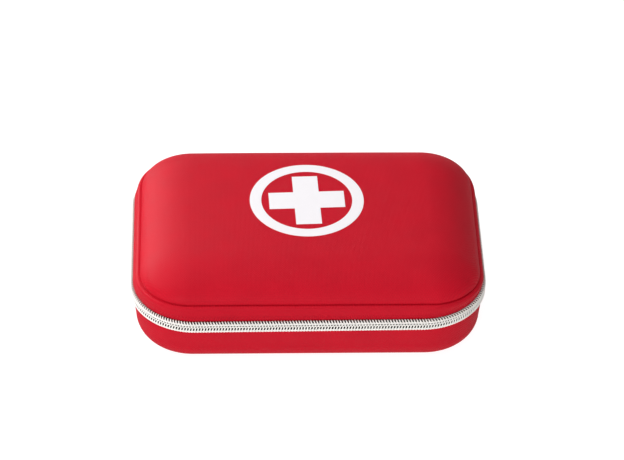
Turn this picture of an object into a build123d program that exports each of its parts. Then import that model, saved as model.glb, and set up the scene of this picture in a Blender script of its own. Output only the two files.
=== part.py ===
"""Soft-shell first aid kit: a moulded, fabric-covered case with a coil zip, a fabric hinge and its contents.

Frame: millimetres, +Z up, origin on the floor under the middle of the closed case.
+X runs along the case, -Y is the front that opens, +Y is the hinge side.
Each piece is written to parts/NODE.step.
"""
from build123d import *
from math import cos, radians, sin
import os

# ---------------------------------------------------------------- driving sizes
LENGTH = 178.0          # over the zip coil, end to end
DEPTH = 126.0           # over the zip coil, front to back
HEIGHT = 49.0           # floor to the top of the lid
ZIP_Z = 25.5            # middle of the zip, and the height of the hinge line
CORNER = 33.0           # plan radius of the four corners, at the coil's outer face
CORE_X = LENGTH / 2 - CORNER    # the corner centres lie on this rectangle
CORE_Y = DEPTH / 2 - CORNER

FOAM = 3.0              # moulded foam wall
LINING = 0.7            # lining fabric
INNER_WALL = 6.4        # inset of the foam's inner face from the coil's outer face
ROOM = INNER_WALL + 0.8     # inset of the clear room inside

# zip, all as insets from the coil's outer face and heights from the zip's middle
COIL_DEPTH = 2.1
COIL_GAP = 0.5          # half of the gap between the two rows of teeth
COIL_TOP = 3.0
TAPE_THICK = 0.75
TAPE_TOP = 6.9
CHAIN_END = 27.5        # degrees from straight back, where the teeth stop on the rear corners
TAPE_END = 5.0
STOP_ARC = 2.5

# slider, parked on the right rear corner
SLIDER_ANGLE = 37.0     # degrees from straight back
SLIDER_LENGTH = 10.0
SLIDER_HALF_WIDTH = 4.4
BAR_OUT = CORNER + 4.1     # distance of the slider's bar from the corner centre
LOOP_RADIUS = 1.5
LOOP_WIRE = 1.1
LOOP_DROP = 5.0
TAB_THICK = 1.4

# emblem printed on the lid
EMBLEM_RADIUS = 28.8
EMBLEM_FIELD = 23.0
EMBLEM_Y = 6.5
EMBLEM_TURN = 2.2
CROSS_SPAN = 38.2
CROSS_ARM = 12.9
FILM = 0.15

FLOOR_Z = FOAM + LINING     # top of the lining on the base's floor
NET_Z = 31.5                # underside of the net pocket
NET_FRONT = -22.0           # the pocket's mouth
SCISSORS_AT = (38.0, 2.0, 25.3)
TWEEZERS_AT = (-17.0, 38.0, 16.7)


# ---------------------------------------------------------------- helpers
def section(*edges):
    """A face in the XZ plane from edges given as (distance from corner centre, height)."""
    return Plane.XZ * make_face(Curve() + list(edges))


def path(*points):
    """A polyline through (inset, height) points."""
    return Polyline(*[(CORNER - inset, height) for inset, height in points])


def bend(inset, height, radius_in, radius_up, start, end):
    """An elliptical arc centred at (inset, height), angles in degrees with 0 pointing outwards."""
    return EllipticalCenterArc(
        (CORNER - inset, height), radius_in, radius_up, start_angle=start, arc_size=end - start
    )


def wall_ring(face):
    """A section carried right round the rounded rectangle of the case."""
    ring = Part()
    corners = ((1, 1, 2 * CORE_Y), (1, -1, 2 * CORE_X), (-1, -1, 2 * CORE_Y), (-1, 1, 2 * CORE_X))
    for turn, (x, y, run) in enumerate(corners):
        place = Pos(x * CORE_X, y * CORE_Y) * Rot(0, 0, -90 * turn)
        ring += place * revolve(face, Axis.Z, 90)
        ring += place * extrude(face, run)
    return ring


def open_run(face, right_end, left_end):
    """A section carried from the right rear corner round the front to the left rear corner.

    The two ends are angles from straight back, measured at the rear corner centres.
    """
    right = Pos(CORE_X, CORE_Y)
    left = Pos(-CORE_X, CORE_Y) * Rot(0, 0, 90 + left_end)
    run = right * revolve(face, Axis.Z, 90 - right_end)
    run += right * extrude(face, 2 * CORE_Y)
    for turn, (x, y, length) in enumerate(((1, -1, 2 * CORE_X), (-1, -1, 2 * CORE_Y)), 1):
        place = Pos(x * CORE_X, y * CORE_Y) * Rot(0, 0, -90 * turn)
        run += place * revolve(face, Axis.Z, 90)
        run += place * extrude(face, length)
    run += left * revolve(face, Axis.Z, 90 - left_end)
    return run


def box_at(x, y, z):
    """A box from three (low, high) pairs."""
    return Pos((x[0] + x[1]) / 2, (y[0] + y[1]) / 2, (z[0] + z[1]) / 2) * Box(
        x[1] - x[0], y[1] - y[0], z[1] - z[0]
    )


def mirrored(part):
    """The same piece for the other half of the case, reflected in the zip's plane."""
    return mirror(part, Plane.XY.offset(ZIP_Z))


def pouch(x, y, z, corner=3.0, edge=1.5):
    """A soft pack: a box with round corners and eased edges."""
    body = box_at(x, y, z)
    body = fillet(body.edges().filter_by(Axis.Z), corner)
    return fillet(body.faces().sort_by(Axis.Z)[-1].edges() + body.faces().sort_by(Axis.Z)[0].edges(), edge)


# ---------------------------------------------------------------- case halves
RIM_SKIN = 1.2          # inset of the rim's outer skin
RIM_EDGE = 3.2          # the skin stops this far from the zip's middle
RIM_BODY = 5.4          # the foam behind the tape stops here, to leave the slider room
GROOVE = (2.05, 2.9)    # inset of the groove that the tape is sewn into
GROOVE_END = 7.0


def rim_points():
    """Insets and heights above the zip's middle, from the foam's inner face round to the skin."""
    return [
        (INNER_WALL, RIM_BODY),
        (GROOVE[1], RIM_BODY),
        (GROOVE[1], GROOVE_END),
        (GROOVE[0], GROOVE_END),
        (GROOVE[0], RIM_EDGE),
        (RIM_SKIN, RIM_EDGE),
    ]


DOME_INSET = 4.0        # the dome's foot
DOME_FOOT_Z = 37.0
DOME_RUN = 27.0         # how far in the shoulder reaches
DOME_RISE = HEIGHT - DOME_FOOT_Z
CREASE_INSET = 4.6
CREASE_Z = 35.6
BAND_TOP = (2.0, 33.2)  # where the band below the crease starts to round over


def make_lid_shell():
    rim = [(inset, ZIP_Z + height) for inset, height in rim_points()]
    shoulder_in = DOME_INSET + DOME_RUN
    foam_run = shoulder_in - INNER_WALL
    face = section(
        path((INNER_WALL, DOME_FOOT_Z), *rim, BAND_TOP),
        bend(CREASE_INSET, BAND_TOP[1], CREASE_INSET - BAND_TOP[0], CREASE_Z - BAND_TOP[1], 0, 90),
        path((CREASE_INSET, CREASE_Z), (CREASE_INSET, CREASE_Z + 0.3), (DOME_INSET, DOME_FOOT_Z)),
        bend(shoulder_in, DOME_FOOT_Z, DOME_RUN, DOME_RISE, 0, 90),
        path((shoulder_in, HEIGHT), (CORNER, HEIGHT), (CORNER, HEIGHT - FOAM), (shoulder_in, HEIGHT - FOAM)),
        bend(shoulder_in, DOME_FOOT_Z, foam_run, DOME_RISE - FOAM, 0, 90),
    )
    roof = box_at((-CORE_X, CORE_X), (-CORE_Y, CORE_Y), (HEIGHT - FOAM, HEIGHT))
    return wall_ring(face) + roof


def make_lid_lining():
    shoulder_in = DOME_INSET + DOME_RUN
    run, rise = shoulder_in - INNER_WALL, DOME_RISE - FOAM
    under = HEIGHT - FOAM
    face = section(
        path((shoulder_in, under - LINING), (CORNER, under - LINING), (CORNER, under), (shoulder_in, under)),
        bend(shoulder_in, DOME_FOOT_Z, run, rise, 0, 90),
        path(
            (INNER_WALL, DOME_FOOT_Z),
            (INNER_WALL, DOME_FOOT_Z - 0.4),
            (INNER_WALL + LINING, DOME_FOOT_Z - 0.4),
            (INNER_WALL + LINING, DOME_FOOT_Z),
        ),
        bend(shoulder_in, DOME_FOOT_Z, run - LINING, rise - LINING, 0, 90),
    )
    return wall_ring(face) + box_at((-CORE_X, CORE_X), (-CORE_Y, CORE_Y), (under - LINING, under))


BASE_FOOT = 8.5         # bottom edge radius
BASE_DRAFT = 2.7        # inset at the foot of the wall
FOAM_FOOT = 5.8         # the same edge inside


def make_base_shell():
    rim = [(inset, ZIP_Z - height) for inset, height in rim_points()]
    foot_in, foam_in = BASE_DRAFT + BASE_FOOT, INNER_WALL + FOAM_FOOT
    face = section(
        path((INNER_WALL, FOAM + FOAM_FOOT), *rim, (BASE_DRAFT, BASE_FOOT)),
        bend(foot_in, BASE_FOOT, BASE_FOOT, BASE_FOOT, -90, 0),
        path((foot_in, 0), (CORNER, 0), (CORNER, FOAM), (foam_in, FOAM)),
        bend(foam_in, FOAM + FOAM_FOOT, FOAM_FOOT, FOAM_FOOT, -90, 0),
    )
    return wall_ring(face) + box_at((-CORE_X, CORE_X), (-CORE_Y, CORE_Y), (0, FOAM))


def make_base_lining():
    foam_in, mid = INNER_WALL + FOAM_FOOT, FOAM + FOAM_FOOT
    top = ZIP_Z - BINDING_TOP - 0.1
    face = section(
        path((foam_in, FLOOR_Z), (CORNER, FLOOR_Z), (CORNER, FOAM), (foam_in, FOAM)),
        bend(foam_in, mid, FOAM_FOOT, FOAM_FOOT, -90, 0),
        path((INNER_WALL, mid), (INNER_WALL, top), (INNER_WALL + LINING, top), (INNER_WALL + LINING, mid)),
        bend(foam_in, mid, FOAM_FOOT - LINING, FOAM_FOOT - LINING, -90, 0),
    )
    return wall_ring(face) + box_at((-CORE_X, CORE_X), (-CORE_Y, CORE_Y), (FOAM, FLOOR_Z))


BINDING_TOP = 11.0      # height of the binding tape's edge from the zip's middle
BINDING_LEG = 0.7


def make_lid_binding():
    """Folded tape that covers the raw edge of foam and lining all round the rim."""
    low = ZIP_Z + RIM_BODY - BINDING_LEG
    outer, inner = GROOVE[1] + 0.3, ROOM
    face = section(
        path(
            (outer, low), (inner, low), (inner, ZIP_Z + BINDING_TOP), (INNER_WALL, ZIP_Z + BINDING_TOP),
            (INNER_WALL, ZIP_Z + RIM_BODY), (outer, ZIP_Z + RIM_BODY), (outer, low),
        )
    )
    return wall_ring(face)


# ---------------------------------------------------------------- zip
def rectangle(inset, height):
    """A rectangular section from (low, high) insets and heights above the zip's middle."""
    return section(
        path(
            (inset[0], ZIP_Z + height[0]), (inset[1], ZIP_Z + height[0]), (inset[1], ZIP_Z + height[1]),
            (inset[0], ZIP_Z + height[1]), (inset[0], ZIP_Z + height[0]),
        )
    )


def make_upper_coil():
    """Stops short of the parked slider, whose channel holds the last teeth."""
    tail = SLIDER_ANGLE + 9.5
    return open_run(rectangle((0, COIL_DEPTH), (COIL_GAP, COIL_TOP)), tail, CHAIN_END)


def make_lower_coil():
    return open_run(rectangle((0, COIL_DEPTH), (-COIL_TOP, -COIL_GAP)), CHAIN_END, CHAIN_END)


def make_upper_tape():
    tape = rectangle((COIL_DEPTH, COIL_DEPTH + TAPE_THICK), (COIL_GAP, TAPE_TOP))
    return open_run(tape, TAPE_END, TAPE_END)


def make_stops():
    """The pair of crimped stops at the upper ends of the chain, one at each rear corner."""
    face = rectangle((-0.1, COIL_DEPTH), (COIL_GAP, COIL_TOP))
    right = Pos(CORE_X, CORE_Y) * Rot(0, 0, 90 - CHAIN_END) * revolve(face, Axis.Z, STOP_ARC)
    return right + mirror(right, Plane.YZ)


def on_corner(part, angle=SLIDER_ANGLE):
    """Puts a piece, built beside the corner centre along +X, at an angle on the right rear corner."""
    return Pos(CORE_X, CORE_Y, ZIP_Z) * Rot(0, 0, 90 - angle) * part


OUTER_PLATE = (CORNER + 0.4, CORNER + 1.5)
INNER_PLATE = (CORNER - 4.4, CORNER - 3.5)
BAR_HALF = (0.55, 0.8)
BRIDGE_HALF = 3.6


def make_slider():
    """Two plates either side of the chain, a post between them at the nose, and a bar for the pull."""
    half = SLIDER_LENGTH / 2
    outline = Polyline(
        (-half, -3.7), (-half + 1.5, -4.4), (1.5, -SLIDER_HALF_WIDTH), (half, -2.2),
        (half, 2.2), (1.5, SLIDER_HALF_WIDTH), (-half + 1.5, 4.4), (-half, 3.7), (-half, -3.7),
    )
    plate = Plane.YZ * make_face(outline)
    body = Part()
    for low, high in (OUTER_PLATE, INNER_PLATE):
        solid = Pos(low, 0, 0) * extrude(plate, high - low)
        body += fillet(solid.edges().filter_by(Axis.X), 0.6)
    body += box_at((INNER_PLATE[1] - 0.2, OUTER_PLATE[0] + 0.2), (half - 2.2, half - 0.4), (-0.35, 0.35))
    bar_in, bar_out = BAR_OUT - BAR_HALF[0], BAR_OUT + BAR_HALF[0]
    bar = box_at((bar_in, bar_out), (-BRIDGE_HALF, BRIDGE_HALF), (-BAR_HALF[1], BAR_HALF[1]))
    body += fillet(bar.edges().filter_by(Axis.Y), 0.35)
    for side in (-1, 1):
        foot = sorted((side * BRIDGE_HALF, side * (BRIDGE_HALF - 1.5)))
        body += box_at((OUTER_PLATE[1] - 0.1, bar_in + 0.2), foot, (-BAR_HALF[1], BAR_HALF[1]))
    return on_corner(body)


def make_pull_loop():
    """A wire loop hanging on the slider's bar, in the plane square to the chain."""
    top = CenterArc((BAR_OUT, 0), LOOP_RADIUS, 0, 180)
    foot = CenterArc((BAR_OUT, -LOOP_DROP), LOOP_RADIUS, 180, 180)
    sides = [Line(top @ 1, foot @ 0), Line(foot @ 1, top @ 0)]
    route = Plane.XZ * Wire([*Curve([top]).edges(), sides[0].edge(), *Curve([foot]).edges(), sides[1].edge()])
    wire = Plane(origin=route @ 0, z_dir=route % 0) * Circle(LOOP_WIRE / 2)
    return on_corner(sweep(wire, path=route))


def make_pull_tab():
    """A flat tab with an eye, threaded on the loop and hanging straight down."""
    eye_z = -LOOP_DROP - LOOP_RADIUS
    length, half = 14.0, 3.6
    blade = Pos(0, eye_z - length / 2 + 2.4) * RectangleRounded(2 * half, length, 2.2)
    face = blade - Pos(0, eye_z) * Circle(1.25)
    tab = Pos(BAR_OUT - TAB_THICK / 2, 0, 0) * extrude(Plane.YZ * face, TAB_THICK)
    return on_corner(tab)


# ---------------------------------------------------------------- hinge fabric and emblem
HINGE_SKIN = (0.35, 1.15)
HINGE_HALF = CORE_X
HINGE_REACH = 8.2


def make_hinge_upper():
    """The lid's half of the fabric hinge; the fold lies on the hinge line."""
    y = (DEPTH / 2 - HINGE_SKIN[1], DEPTH / 2 - HINGE_SKIN[0])
    return box_at((-HINGE_HALF, HINGE_HALF), y, (ZIP_Z + 0.2, ZIP_Z + HINGE_REACH))


def make_emblem():
    """A plain ring round an equal-armed cross, in one layer of film."""
    ring = Circle(EMBLEM_RADIUS) - Circle(EMBLEM_FIELD)
    cross = Rectangle(CROSS_SPAN, CROSS_ARM) + Rectangle(CROSS_ARM, CROSS_SPAN)
    return Pos(0, EMBLEM_Y, HEIGHT) * Rot(0, 0, EMBLEM_TURN) * extrude(ring + cross, FILM)


# ---------------------------------------------------------------- net pocket in the lid
NET_THICK = 0.5
NET_SIDE = LENGTH / 2 - ROOM - 0.1
NET_BACK = DEPTH / 2 - ROOM - 0.1
NET_CORNER = CORNER - ROOM - 0.1
HEM_WIDTH = 8.0


def make_net():
    outline = RectangleRounded(2 * NET_SIDE, 2 * NET_BACK, NET_CORNER)
    keep = Pos(0, (NET_FRONT + HEM_WIDTH + NET_BACK) / 2) * Rectangle(
        2 * NET_SIDE, NET_BACK - NET_FRONT - HEM_WIDTH
    )
    return Pos(0, 0, NET_Z) * extrude(outline & keep, NET_THICK)


def make_hem():
    middle = NET_FRONT + HEM_WIDTH / 2
    return Pos(0, middle, NET_Z + NET_THICK / 2) * Box(2 * NET_SIDE, HEM_WIDTH, 1.0)


def make_gloves():
    return pouch((-62, -2), (-4, 44), (32.6, 39.6), 4, 2.5)


def make_wipes():
    """Four foil sachets lying on each other."""
    stack = [box_at((22, 66), (-4, 40), (32.6 + 2.1 * k, 34.4 + 2.1 * k)) for k in range(4)]
    return Compound(children=[fillet(s.edges().filter_by(Axis.Z), 1.0) for s in stack])


def make_leaflet():
    """A folded paper guide at the back of the pocket."""
    return box_at((-46, 46), (-10, 44), (42.6, 44.0))


# ---------------------------------------------------------------- contents of the base
def roll(radius, length, x, y):
    """A bandage lying along Y on the floor of the base."""
    return Pos(x, y, FLOOR_Z + 0.1 + radius) * Rot(90, 0, 0) * Cylinder(radius, length)


def make_bandage_clips():
    """Two small clips across the loose end of the elastic bandage."""
    clips = [box_at((-71, -61), (y - 2, y + 2), (30.85, 31.25)) for y in (-9, 9)]
    return Compound(children=clips)


TAPE_AT = (-4.0, -34.0)
TAPE_WIDTH = 12.5
SPOOL_RADIUS = 10.0


def make_tape_roll():
    middle = FLOOR_Z + 0.1 + TAPE_WIDTH / 2
    return Pos(*TAPE_AT, middle) * (Cylinder(17, TAPE_WIDTH) - Cylinder(SPOOL_RADIUS, TAPE_WIDTH))


def make_tape_spool():
    middle = FLOOR_Z + 0.1 + TAPE_WIDTH / 2
    return Pos(*TAPE_AT, middle) * (Cylinder(SPOOL_RADIUS, TAPE_WIDTH) - Cylinder(8, TAPE_WIDTH))


def make_gauze():
    """Three sterile pads in paper packs."""
    packs = [box_at((20, 70), (-43, 3), (16.2 + 2 * k, 17.9 + 2 * k)) for k in range(3)]
    return Compound(children=[fillet(p.edges().filter_by(Axis.Z), 1.0) for p in packs])


def make_plasters():
    """Ten wrapped plasters in a bundle."""
    strips = [box_at((-24, -5), (-16, 50), (3.8 + 0.55 * k, 4.25 + 0.55 * k)) for k in range(10)]
    return Compound(children=strips)


def make_safety_pins():
    """Two closed pins of bent wire, side by side."""
    pins = []
    for x in (-1.0, 8.0):
        route = Plane((x, 12, 4.5)) * SlotOverall(32, 6, rotation=90).wire()
        wire = Plane(origin=route @ 0, z_dir=route % 0) * Circle(0.45)
        pins.append(sweep(wire, path=route))
    return Compound(children=pins)


# ---------------------------------------------------------------- scissors
BLADE = 1.3
PIVOT_RADIUS = 2.0
HOLE_RADIUS = 2.05


def half_outline():
    """One blade and its shank, seen from above; the blade lies on the -Y side."""
    return make_face(
        Polyline(
            (-26, 5.2), (-26, 2.4), (-17, 1.0), (-6, -3.6), (2, -5.2), (24, -4.6), (36, -3.2),
            (40, -0.6), (39, 0.8), (4, 0.9), (-4, 4.8), (-17, 5.6), (-26, 5.2),
        )
    )


def loop_outline():
    """A finger loop with its neck."""
    outer = Pos(-33, 10.6) * Ellipse(14, 9.6)
    neck = Pos(-23, 3.8) * Rot(0, 0, -6) * Rectangle(14, 7.0)
    own_side = Pos(-30, 20.2) * Rectangle(60, 40)
    return (outer + neck) & own_side


def finger_hole():
    return Pos(-34, 10.9) * Ellipse(9.6, 5.9)


def make_scissors():
    """Both blades, both handles and the rivet, by node name."""
    place = Pos(*SCISSORS_AT)
    steel_low = Pos(0, 0, -BLADE - 0.05) * extrude(half_outline(), BLADE)
    steel_high = Rot(180, 0, 0) * steel_low
    grip = Pos(0, 0, -2.4) * extrude(loop_outline() - finger_hole(), 4.8)
    grip = fillet(grip.edges().filter_by(Plane.XY), 1.0)
    grip_low = grip - steel_low
    grip_high = Rot(180, 0, 0) * grip - steel_high
    shaft = Pos(0, 0, -0.7) * Cylinder(PIVOT_RADIUS, 4.3)
    head = Pos(0, 0, 1.9) * Cylinder(3.4, 0.9)
    foot = Pos(0, 0, -1.9) * Cylinder(3.4, 0.9)
    rivet = shaft + head + foot
    bore = Cylinder(HOLE_RADIUS, 10)
    return {
        "scissors_fixed_blade": place * (steel_low - Cylinder(PIVOT_RADIUS, 10)),
        "scissors_moving_blade": place * (steel_high - bore),
        "scissors_fixed_handle": place * grip_low,
        "scissors_moving_handle": place * grip_high,
        "scissors_rivet": place * rivet,
    }


# ---------------------------------------------------------------- tweezers
TWEEZER_LENGTH = 80.0
TWEEZER_SPREAD = 2.4    # the tips stand this far from the middle line


def make_tweezer_arms():
    """Two sprung strips joined at the tail; the tips point to -Y."""
    side_view = make_face(
        Polyline((-1, 0), (-1, 7), (-30, 7.6), (-60, 6.2), (-80, 3.6), (-80, 2.4), (-60, 0.6), (-30, 0), (-1, 0))
    )
    strip = Pos(0.3, 0, 0) * extrude(Plane.YZ * side_view, 1.0)
    lean = TWEEZER_SPREAD / TWEEZER_LENGTH * 57.3
    right = Rot(0, 0, lean) * strip
    tail = box_at((-1.4, 1.4), (-0.4, 3.2), (0, 7)) + box_at((-1.4, -0.35), (-1.6, -0.3), (0, 7))
    left = mirror(right, Plane.YZ) + tail
    place = Pos(*TWEEZERS_AT)
    return {"tweezers_fixed_arm": place * left, "tweezers_moving_arm": place * right}


# ---------------------------------------------------------------- write every node
def all_parts():
    upper_tape = make_upper_tape()
    lid_binding = make_lid_binding()
    upper_stops = make_stops()
    upper_hinge = make_hinge_upper()
    parts = {
        "base_shell": make_base_shell(),
        "base_lining": make_base_lining(),
        "base_binding": mirrored(lid_binding),
        "lid_shell": make_lid_shell(),
        "lid_lining": make_lid_lining(),
        "lid_binding": lid_binding,
        "upper_zip_tape": upper_tape,
        "lower_zip_tape": mirrored(upper_tape),
        "upper_zip_coil": make_upper_coil(),
        "lower_zip_coil": make_lower_coil(),
        "upper_zip_stops": upper_stops,
        "lower_zip_stops": mirrored(upper_stops),
        "zip_slider": make_slider(),
        "zip_pull_loop": make_pull_loop(),
        "zip_pull_tab": make_pull_tab(),
        "hinge_fabric_upper": upper_hinge,
        "hinge_fabric_lower": mirrored(upper_hinge),
        "lid_emblem": make_emblem(),
        "pocket_net": make_net(),
        "pocket_hem": make_hem(),
        "glove_pack": make_gloves(),
        "antiseptic_wipes": make_wipes(),
        "aid_leaflet": make_leaflet(),
        "elastic_bandage": roll(13.5, 70, -66, 0),
        "bandage_clips": make_bandage_clips(),
        "gauze_bandage": roll(12, 60, -39, 0),
        "adhesive_tape": make_tape_roll(),
        "tape_spool": make_tape_spool(),
        "triangular_bandage": pouch((17, 76), (-44, 4), (3.8, 16.0), 4, 3),
        "foil_blanket": pouch((17, 76), (7, 44), (3.8, 20.0), 4, 3),
        "gauze_pads": make_gauze(),
        "plasters": make_plasters(),
        "safety_pins": make_safety_pins(),
    }
    parts.update(make_scissors())
    parts.update(make_tweezer_arms())
    return parts


os.makedirs("parts", exist_ok=True)
for name, shape in all_parts().items():
    export_step(shape, f"parts/{name}.step")
    box = shape.bounding_box()
    print(f"{name:24s} {shape.volume:10.1f} mm3  {box.min.Z:6.2f} to {box.max.Z:6.2f}")
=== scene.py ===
"""The looks of a soft-shell first aid kit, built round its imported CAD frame."""

import math

import bmesh
import bpy
from mathutils import Matrix, Vector, noise


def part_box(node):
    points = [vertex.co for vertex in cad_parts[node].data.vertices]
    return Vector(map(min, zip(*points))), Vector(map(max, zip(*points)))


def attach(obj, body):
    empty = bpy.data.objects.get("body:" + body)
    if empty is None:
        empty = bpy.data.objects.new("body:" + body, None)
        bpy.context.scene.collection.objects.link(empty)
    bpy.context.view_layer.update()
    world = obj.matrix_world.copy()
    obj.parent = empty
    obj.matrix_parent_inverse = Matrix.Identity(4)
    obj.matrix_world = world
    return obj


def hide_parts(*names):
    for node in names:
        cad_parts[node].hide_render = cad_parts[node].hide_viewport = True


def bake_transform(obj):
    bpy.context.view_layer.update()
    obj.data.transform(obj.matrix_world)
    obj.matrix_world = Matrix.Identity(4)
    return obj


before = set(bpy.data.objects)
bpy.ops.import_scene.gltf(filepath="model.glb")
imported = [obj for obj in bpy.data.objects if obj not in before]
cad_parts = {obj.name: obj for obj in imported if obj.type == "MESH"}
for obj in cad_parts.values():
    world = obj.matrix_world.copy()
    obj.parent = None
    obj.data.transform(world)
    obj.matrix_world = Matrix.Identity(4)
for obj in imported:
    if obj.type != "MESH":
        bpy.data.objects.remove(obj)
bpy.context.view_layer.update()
MM = 0.001


# The studio: a white floor in a white room, lit by four soft lights from the left, from behind the left
# shoulder, from above and from the front. A long lens looks down on the case from the front.
def add_object(name, data):
    """An object that holds the data, put in the scene."""
    obj = bpy.data.objects.new(name, data)
    bpy.context.scene.collection.objects.link(obj)
    return obj


def new_material(name):
    """A material that uses nodes, with its tree and its Principled shader."""
    material = bpy.data.materials.new(name)
    material.use_nodes = True
    return material, material.node_tree, material.node_tree.nodes["Principled BSDF"]


def make_studio():
    scene = bpy.context.scene
    scene.view_settings.view_transform = "Standard"
    world = bpy.data.worlds.new("white_room")
    scene.world = world
    world.use_nodes = True
    room = world.node_tree.nodes["Background"]
    room.inputs["Color"].default_value = (1.0, 1.0, 1.0, 1)
    room.inputs["Strength"].default_value = 0.32

    mesh = bpy.data.meshes.new("floor")
    half, drop = 4.0, -0.0002
    corners = [(-half, -half, drop), (half, -half, drop), (half, half, drop), (-half, half, drop)]
    mesh.from_pydata(corners, [], [(0, 1, 2, 3)])
    floor = add_object("floor", mesh)
    paper, _, shader = new_material("floor_paper")
    shader.inputs["Base Color"].default_value = (0.3, 0.3, 0.3, 1)
    shader.inputs["Roughness"].default_value = 0.9
    shader.inputs["Specular IOR Level"].default_value = 0.0
    shader.inputs["Emission Color"].default_value = (1.0, 1.0, 1.0, 1)
    shader.inputs["Emission Strength"].default_value = 0.9
    mesh.materials.append(paper)
    floor.visible_glossy = False

    lights = (
        ("key", (-0.80, 0.20, 0.60), (0.0, 0.0, 0.02), 0.5, 5.4),
        ("back_left", (-0.75, 0.95, 0.36), (0.0, 0.0, 0.02), 0.5, 7.0),
        ("overhead", (-0.1, 0.0, 1.3), (0.0, 0.0, 0.02), 1.2, 4.8),
        ("front_fill", (-0.45, -1.1, 0.55), (0.0, 0.0, 0.02), 0.9, 8.0),
    )
    for name, place, target, size, power in lights:
        lamp = bpy.data.lights.new(name, "AREA")
        lamp.energy = power
        lamp.shape = "SQUARE"
        lamp.size = size
        obj = add_object(name, lamp)
        obj.location = place
        aim = Vector(target) - Vector(place)
        obj.rotation_euler = aim.to_track_quat("-Z", "Y").to_euler()

    lens = bpy.data.cameras.new("camera")
    lens.sensor_width = 36.0
    lens.lens = 184.9
    lens.clip_end = 20.0
    camera = add_object("camera", lens)
    elevation, turn, tilt = math.radians(39.5), math.radians(2.37), math.radians(1.2)
    distance, right, up = 1.6458, 0.0027, 0.02731
    spin = Matrix.Rotation(-turn, 4, "Z")
    away = up * math.sin(elevation) - distance * math.cos(elevation)
    above = up * math.cos(elevation) + distance * math.sin(elevation)
    pitch = Matrix.Rotation(math.radians(90) - elevation, 4, "X")
    roll = Matrix.Rotation(tilt, 4, "Z")
    camera.matrix_world = spin @ Matrix.Translation((right, away, above)) @ pitch @ roll
    scene.camera = camera


make_studio()


# The red cloth of both shells: plain-woven nylon, laminated to foam and pressed into shape under heat,
# so it is smooth, a little glossy where light grazes it, with its weave only just showing.
RED = (0.545, 0.0042, 0.0180)


def add_nodes(tree, *kinds):
    """New nodes of the given kinds, in order."""
    return [tree.nodes.new(kind) for kind in kinds]


def maths(tree, operation, first, second=None, third=None):
    """A Math node's result; its inputs are sockets or numbers."""
    node = tree.nodes.new("ShaderNodeMath")
    node.operation = operation
    for socket, value in zip(node.inputs, (first, second, third)):
        if value is None:
            continue
        if isinstance(value, (int, float)):
            socket.default_value = value
        else:
            tree.links.new(value, socket)
    return node.outputs[0]


def make_weave_group():
    """Plain weave: threads pass over and under each other. Vector in metres, Threads per metre."""
    group = bpy.data.node_groups.new("plain_weave", "ShaderNodeTree")
    sockets = group.interface
    sockets.new_socket("Vector", in_out="INPUT", socket_type="NodeSocketVector")
    sockets.new_socket("Threads", in_out="INPUT", socket_type="NodeSocketFloat")
    sockets.new_socket("Height", in_out="OUTPUT", socket_type="NodeSocketFloat")
    sockets.new_socket("Uneven", in_out="OUTPUT", socket_type="NodeSocketFloat")
    inlet, outlet, split, blotch = add_nodes(
        group, "NodeGroupInput", "NodeGroupOutput", "ShaderNodeSeparateXYZ", "ShaderNodeTexNoise"
    )
    link = group.links.new
    link(inlet.outputs["Vector"], split.inputs[0])
    waves = []
    for axis in ("X", "Y"):
        turns = maths(group, "MULTIPLY", split.outputs[axis], inlet.outputs["Threads"])
        waves.append(maths(group, "SINE", maths(group, "MULTIPLY", turns, math.pi)))
    over = maths(group, "GREATER_THAN", maths(group, "MULTIPLY", *waves), 0.0)
    warp = maths(group, "MULTIPLY", maths(group, "ABSOLUTE", waves[0]), over)
    weft = maths(group, "MULTIPLY", maths(group, "ABSOLUTE", waves[1]), maths(group, "SUBTRACT", 1.0, over))
    link(maths(group, "ADD", warp, maths(group, "MULTIPLY", weft, 0.45)), outlet.inputs["Height"])
    link(inlet.outputs["Vector"], blotch.inputs["Vector"])
    blotch.inputs["Scale"].default_value = 60.0
    blotch.inputs["Detail"].default_value = 4.0
    link(blotch.outputs["Fac"], outlet.inputs["Uneven"])
    return group


WEAVE = make_weave_group()


def set_tones(tree, shader, factor, dark, light):
    """Colours the surface between two tones, by the factor."""
    tint = tree.nodes.new("ShaderNodeMix")
    tint.data_type = "RGBA"
    tint.inputs["A"].default_value = (*dark, 1)
    tint.inputs["B"].default_value = (*light, 1)
    tree.links.new(factor, tint.inputs["Factor"])
    tree.links.new(tint.outputs["Result"], shader.inputs["Base Color"])


def set_gloss(tree, shader, factor, low, high):
    """Varies the roughness between two values, by the factor."""
    spread = tree.nodes.new("ShaderNodeMapRange")
    spread.inputs["To Min"].default_value = low
    spread.inputs["To Max"].default_value = high
    tree.links.new(factor, spread.inputs["Value"])
    tree.links.new(spread.outputs["Result"], shader.inputs["Roughness"])


def set_relief(tree, shader, height, depth, under=None):
    """Raises the surface by the height, over another relief if there is one; returns its normal."""
    bump = tree.nodes.new("ShaderNodeBump")
    bump.inputs["Distance"].default_value = depth
    tree.links.new(height, bump.inputs["Height"])
    if under:
        tree.links.new(under, bump.inputs["Normal"])
    tree.links.new(bump.outputs["Normal"], shader.inputs["Normal"])
    return bump.outputs["Normal"]


def tones(colour, spread):
    """A darker and a lighter version of the colour."""
    return [tuple(min(1.0, channel * (1 + side * spread)) for channel in colour) for side in (-1, 1)]


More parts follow.
